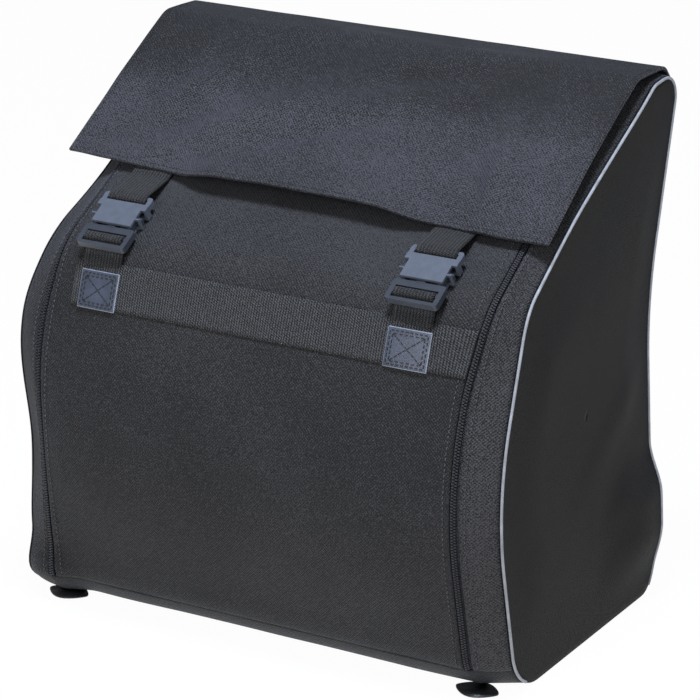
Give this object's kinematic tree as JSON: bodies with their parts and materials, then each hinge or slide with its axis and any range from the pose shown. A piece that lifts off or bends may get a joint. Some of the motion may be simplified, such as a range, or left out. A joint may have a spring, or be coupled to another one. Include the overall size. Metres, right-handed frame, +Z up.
{
  "type": "accordion case",
  "caption": "Soft padded accordion case with sloping zipped front, top flap held by webbing straps with side-release buckles, grey piping and shoulder straps on the back.",
  "frame": {"origin": "on the floor, in the middle of the flat of the base", "axes": "+Z up, -Y out of the front panel, +X to the right of someone facing the front"},
  "size_m": [0.488, 0.365, 0.4849],
  "materials": {
    "nylon": "woven, matte",
    "foam": "closed-cell foam under lining",
    "board": "fluted board",
    "piping": "smooth grey cord",
    "webbing": "ribbed polypropylene webbing",
    "zip_tape": "woven tape",
    "zip_coil": "nylon coil",
    "zip_metal": "black enamel",
    "vinyl": "grained vinyl",
    "buckle": "acetal, semi-gloss"
  },
  "bodies": {
    "shell": {"base_panel": "nylon", "back_panel": "nylon", "back_padding": "foam", "base_board": "board", "flap_seam_binding": "webbing", "strap_yoke": "nylon", "grab_loop": "webbing", "left_side_panel": "nylon", "left_side_padding": "foam", "left_front_gusset": "nylon", "left_top_gusset": "nylon", "left_piping": "piping", "left_fixed_zip_tape": "zip_tape", "left_fixed_zip_coil": "zip_coil", "left_zip_end_tab": "vinyl", "left_shoulder_strap": "nylon", "left_ladder_lock": "buckle", "left_adjuster_webbing": "webbing", "left_strap_anchor": "nylon", "right_side_panel": "nylon", "right_side_padding": "foam", "right_front_gusset": "nylon", "right_top_gusset": "nylon", "right_piping": "piping", "right_fixed_zip_tape": "zip_tape", "right_fixed_zip_coil": "zip_coil", "right_zip_end_tab": "vinyl", "right_shoulder_strap": "nylon", "right_ladder_lock": "buckle", "right_adjuster_webbing": "webbing", "right_strap_anchor": "nylon"},
    "front": {"front_panel": "nylon", "front_padding": "foam", "front_webbing_band": "webbing", "left_panel_zip_tape": "zip_tape", "left_panel_zip_coil": "zip_coil", "left_patch": "vinyl", "left_lower_strap": "webbing", "right_panel_zip_tape": "zip_tape", "right_panel_zip_coil": "zip_coil", "right_patch": "vinyl", "right_lower_strap": "webbing"},
    "flap": {"top_flap": "nylon", "left_upper_strap": "webbing", "left_buckle_socket": "buckle", "right_upper_strap": "webbing", "right_buckle_socket": "buckle"},
    "left_plug": {"left_buckle_plug": "buckle"},
    "left_left_prong": {"left_buckle_left_prong": "buckle"},
    "left_right_prong": {"left_buckle_right_prong": "buckle"},
    "left_slider": {"left_zip_slider": "zip_metal"},
    "left_pull": {"left_zip_pull": "zip_metal"},
    "right_plug": {"right_buckle_plug": "buckle"},
    "right_left_prong": {"right_buckle_left_prong": "buckle"},
    "right_right_prong": {"right_buckle_right_prong": "buckle"},
    "right_slider": {"right_zip_slider": "zip_metal"},
    "right_pull": {"right_zip_pull": "zip_metal"}
  },
  "joints": [
    {"name": "flap_hinge", "type": "hinge", "parent": "shell", "child": "flap", "pos_m": [0, 0.15044, 0.47041], "axis": [-1, 0, 0], "range_deg": [0, 180]},
    {"name": "front_panel_fold", "type": "hinge", "parent": "shell", "child": "front", "pos_m": [0, -0.15294, 0.02425], "axis": [1, 0, 0], "range_deg": [0, 54]},
    {"name": "left_buckle_release", "type": "slide", "parent": "front", "child": "left_plug", "axis": [0, -0.8604, -0.5096], "range_m": [0, 0.03], "deforming": ["left_lower_strap"]},
    {"name": "left_buckle_left_prong_squeeze", "type": "hinge", "parent": "left_plug", "child": "left_left_prong", "pos_m": [-0.1695, -0.13611, 0.35208], "axis": [0, 0.5096, -0.8604], "range_deg": [0, 12], "stiffness_Nm_per_rad": 0.4},
    {"name": "left_buckle_right_prong_squeeze", "type": "hinge", "parent": "left_plug", "child": "left_right_prong", "pos_m": [-0.1345, -0.13611, 0.35208], "axis": [0, -0.5096, 0.8604], "range_deg": [0, 12], "stiffness_Nm_per_rad": 0.4},
    {"name": "left_zip_slide", "type": "slide", "parent": "front", "child": "left_slider", "axis": [0, -0.8604, -0.5096], "range_m": [0, 0.14]},
    {"name": "left_zip_pull_swing", "type": "hinge", "parent": "left_slider", "child": "left_pull", "pos_m": [-0.208, 0.01434, 0.43537], "axis": [-1, 0, 0], "range_deg": [0, 90]},
    {"name": "right_buckle_release", "type": "slide", "parent": "front", "child": "right_plug", "axis": [0, -0.8604, -0.5096], "range_m": [0, 0.03], "deforming": ["right_lower_strap"]},
    {"name": "right_buckle_left_prong_squeeze", "type": "hinge", "parent": "right_plug", "child": "right_left_prong", "pos_m": [0.1345, -0.13611, 0.35208], "axis": [0, 0.5096, -0.8604], "range_deg": [0, 12], "stiffness_Nm_per_rad": 0.4},
    {"name": "right_buckle_right_prong_squeeze", "type": "hinge", "parent": "right_plug", "child": "right_right_prong", "pos_m": [0.1695, -0.13611, 0.35208], "axis": [0, -0.5096, 0.8604], "range_deg": [0, 12], "stiffness_Nm_per_rad": 0.4},
    {"name": "right_zip_slide", "type": "slide", "parent": "front", "child": "right_slider", "axis": [0, -0.8604, -0.5096], "range_m": [0, 0.14]},
    {"name": "right_zip_pull_swing", "type": "hinge", "parent": "right_slider", "child": "right_pull", "pos_m": [0.208, 0.01434, 0.43537], "axis": [-1, 0, 0], "range_deg": [0, 90]}
  ],
  "couplings": [
    {"joint": "front_panel_fold", "follows": "flap_hinge", "ratio": 0.3},
    {"joint": "left_buckle_left_prong_squeeze", "follows": "left_buckle_right_prong_squeeze", "ratio": 1},
    {"joint": "left_zip_pull_swing", "follows": "flap_hinge", "ratio": 0.5},
    {"joint": "right_buckle_left_prong_squeeze", "follows": "right_buckle_right_prong_squeeze", "ratio": 1},
    {"joint": "right_zip_pull_swing", "follows": "flap_hinge", "ratio": 0.5}
  ]
}
